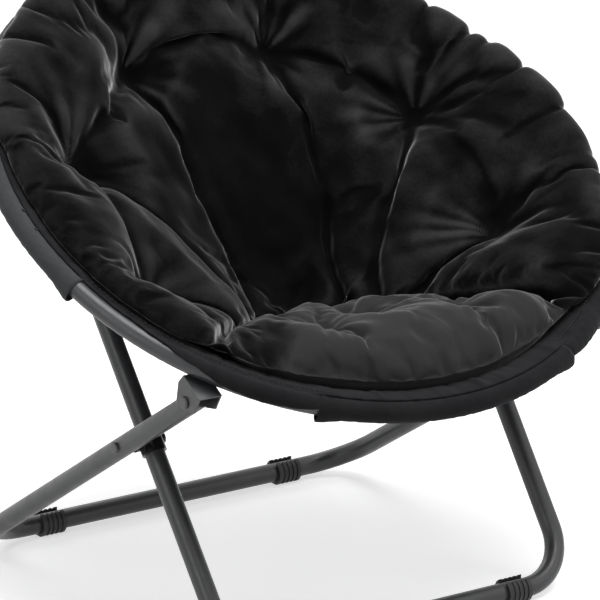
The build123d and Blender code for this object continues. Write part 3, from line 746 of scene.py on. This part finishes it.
# Flaps of the band that hang over the bare stretches of tube
def flap(name, side, rows=16, pitch=0.004):
    length = math.radians(FLAP_TURNS[-1] - FLAP_TURNS[0]) * HOOP_RADIUS
    turn = np.linspace(FLAP_TURNS[0], FLAP_TURNS[-1], int(length / pitch) + 1)
    end = np.interp(turn, FLAP_TURNS, FLAP_ENDS)
    for _ in range(12):
        end[1:-1] = (end[:-2] + 2 * end[1:-1] + end[2:]) / 4
    end += 3.0 * np.sin(0.9 * turn) + 1.5 * np.sin(2.3 * turn)
    share = np.linspace(0, 1, rows + 1)
    spin = np.radians(FLAP_START + np.multiply.outer(end - FLAP_START, share))
    tt = np.radians(turn)[:, None] + 0 * spin
    section = FLAP_SECTION + 0.0009 * share[None, :] ** 3 + 0.00025 * np.sin(150 * tt + 3 * spin)
    r, h = HOOP_RADIUS + section * np.cos(spin), section * np.sin(spin)
    pts = to_row(side * r * np.cos(tt), r * np.sin(tt), h).reshape(-1, 3)
    made = grid_faces(np.arange(len(turn) * (rows + 1)).reshape(len(turn), rows + 1))
    # Turns the faces away from the tube's axis
    at = tt[0, :1]
    axis = to_row(side * HOOP_RADIUS * np.cos(at), HOOP_RADIUS * np.sin(at), 0 * at)[0]
    first = pts[made[0]]
    if np.cross(first[1] - first[0], first[3] - first[0]) @ (first[0] - axis) < 0:
        made = made[:, ::-1]
    obj = make_mesh(name, pts, made)
    obj.data.materials.append(SHADE_PAINTED_CLOTH)
    add_modifier(obj, "SOLIDIFY", thickness=FLAP_LAYER, offset=-1.0)
    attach(obj, "seat")


flap("band_flap_left", 1.0)
flap("band_flap_right", -1.0)


# Stitches on the band
def capsule_row(name, r, h, pitch, long, thick):
    total = int(2 * math.pi * r / pitch)
    ring_turn = np.arange(6) * math.pi / 3
    pts, made = [], []
    for k in range(total):
        middle = (k + 0.5) * 2 * math.pi / total
        base = len(pts)
        for s, wide in ((-0.5, 0.35), (-0.3, 1.0), (0.0, 1.1), (0.3, 1.0), (0.5, 0.35)):
            at = middle + s * long / r
            for t in ring_turn:
                rr, hh = r + thick * wide * math.cos(t), h + thick * wide * math.sin(t)
                pts.append((rr, at, hh))
        made += capped_faces(5, len(ring_turn), base)
    p = np.array(pts)
    obj = make_mesh(name, to_row(p[:, 0] * np.cos(p[:, 1]), p[:, 0] * np.sin(p[:, 1]), p[:, 2]), made)
    face_outwards(obj)
    obj.data.materials.append(THREAD)
    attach(obj, "seat")
    return obj


# Bar tacks sewn through the rear sleeve near its ends
def bar_tacks(name, sides=12):
    pts, made = [], []
    out_way, up_way = math.cos(TACK_SPIN), math.sin(TACK_SPIN)
    for where in TACKS:
        turn = math.radians(where)
        base = len(pts)
        for wide, high in ((1.0, -0.0006), (1.0, 0.0004), (0.75, 0.0010), (0.3, 0.0013)):
            for k in range(sides):
                spin = 2 * math.pi * k / sides
                along, across = TACK_SIZE * wide * math.cos(spin), TACK_SIZE * wide * math.sin(spin)
                r = HOOP_RADIUS + (TACK_SECTION + high) * out_way - across * up_way
                h = (TACK_SECTION + high) * up_way + across * out_way
                at = turn + along / HOOP_RADIUS
                pts.append((r * math.cos(at), r * math.sin(at), h))
        made += capped_faces(4, sides, base)
    p = np.array(pts)
    obj = make_mesh(name, to_row(p[:, 0], p[:, 1], p[:, 2]), made)
    face_outwards(obj)
    obj.data.materials.append(THREAD)
    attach(obj, "seat")


bar_tacks("sleeve_tacks")
outer_stitches = capsule_row("band_stitches_outer", *OUTER_ROW, *STITCH)
inner_stitches = capsule_row("band_stitches_inner", *INNER_ROW, *STITCH)

# Camera at the photograph's angle
AZIMUTH, ELEVATION = math.radians(-33.95), math.radians(16.82)
FOCAL_PIXELS, DISTANCE, FRAME_PIXELS = 4463.0, 5.5, 600
AIM = Vector((-0.0007, 0.0, 0.3610))
level = math.cos(ELEVATION)
back = Vector((math.sin(AZIMUTH) * level, -math.cos(AZIMUTH) * level, math.sin(ELEVATION)))
camera_data = bpy.data.cameras.new("camera")
camera = bpy.data.objects.new("camera", camera_data)
scene.collection.objects.link(camera)
camera_data.sensor_width = 36.0
camera_data.lens = FOCAL_PIXELS / FRAME_PIXELS * camera_data.sensor_width
camera_data.clip_end = 60.0
camera.location = AIM + back * DISTANCE
camera.rotation_mode = "QUATERNION"
camera.rotation_quaternion = (-back).to_track_quat("-Z", "Y")
scene.camera = camera


# Studio light
def area_light(name, place, aim, size, power):
    data = bpy.data.lights.new(name, "AREA")
    data.shape = "RECTANGLE"
    data.size, data.size_y = size
    data.energy = power
    obj = bpy.data.objects.new(name, data)
    scene.collection.objects.link(obj)
    obj.location = place
    obj.rotation_mode = "QUATERNION"
    obj.rotation_quaternion = (Vector(aim) - Vector(place)).to_track_quat("-Z", "Y")


area_light("top_light", (0.2, -0.6, 3.2), (0, 0, 0.3), (2.4, 2.4), 106)
area_light("left_light", (-3.0, -1.2, 1.7), (0, 0, 0.5), (1.2, 2.4), 16)
area_light("right_light", (2.6, -2.4, 2.0), (0, 0, 0.4), (1.4, 2.4), 15)
area_light("back_light", (0.6, 3.0, 2.2), (0, 0, 0.5), (2.6, 1.2), 26)


def seen_rays(tree_nodes, links):
    # 1 for rays from the camera, from mirror surfaces and through clear ones
    ray = tree_nodes.new("ShaderNodeLightPath")
    total = ray.outputs["Is Camera Ray"]
    for kind in ("Is Glossy Ray", "Is Transmission Ray"):
        added = node(tree_nodes, "ShaderNodeMath", operation="ADD")
        links.new(total, added.inputs[0])
        links.new(ray.outputs[kind], added.inputs[1])
        total = added.outputs[0]
    return total


WORLD_LIGHT, FLOOR_GLOW = 0.16, 0.58
world = bpy.data.worlds.new("studio")
scene.world = world
world.use_nodes = True
world.node_tree.nodes["Background"].inputs["Color"].default_value = (1, 1, 1, 1)
world_nodes, world_links = world.node_tree.nodes, world.node_tree.links
# White where it is seen, directly or mirrored, and dimmer as light
world_level = node(world_nodes, "ShaderNodeMath", operation="MULTIPLY_ADD")
world_level.inputs[1].default_value = 1.0 - WORLD_LIGHT
world_level.inputs[2].default_value = WORLD_LIGHT
world_links.new(seen_rays(world_nodes, world_links), world_level.inputs[0])
world_links.new(world_level.outputs[0], world_nodes["Background"].inputs["Strength"])

# Pale floor that keeps the shadow
FLOOR_HALF = 15
floor_corners = [(a * FLOOR_HALF, b * FLOOR_HALF, 0) for a, b in ((-1, -1), (1, -1), (1, 1), (-1, 1))]
floor = make_mesh("floor", floor_corners, [(0, 1, 2, 3)], False)
floor_mat, floor_nodes, floor_links, floor_shader = material("floor", grey(0.80), 0.9, Specular_IOR_Level=0.1)
floor_shader.inputs["Emission Color"].default_value = (1, 1, 1, 1)
glow = node(floor_nodes, "ShaderNodeMath", operation="MULTIPLY")
glow.inputs[1].default_value = FLOOR_GLOW
floor_links.new(seen_rays(floor_nodes, floor_links), glow.inputs[0])
floor_links.new(glow.outputs[0], floor_shader.inputs["Emission Strength"])
floor.data.materials.append(floor_mat)

scene.view_settings.view_transform = "Standard"
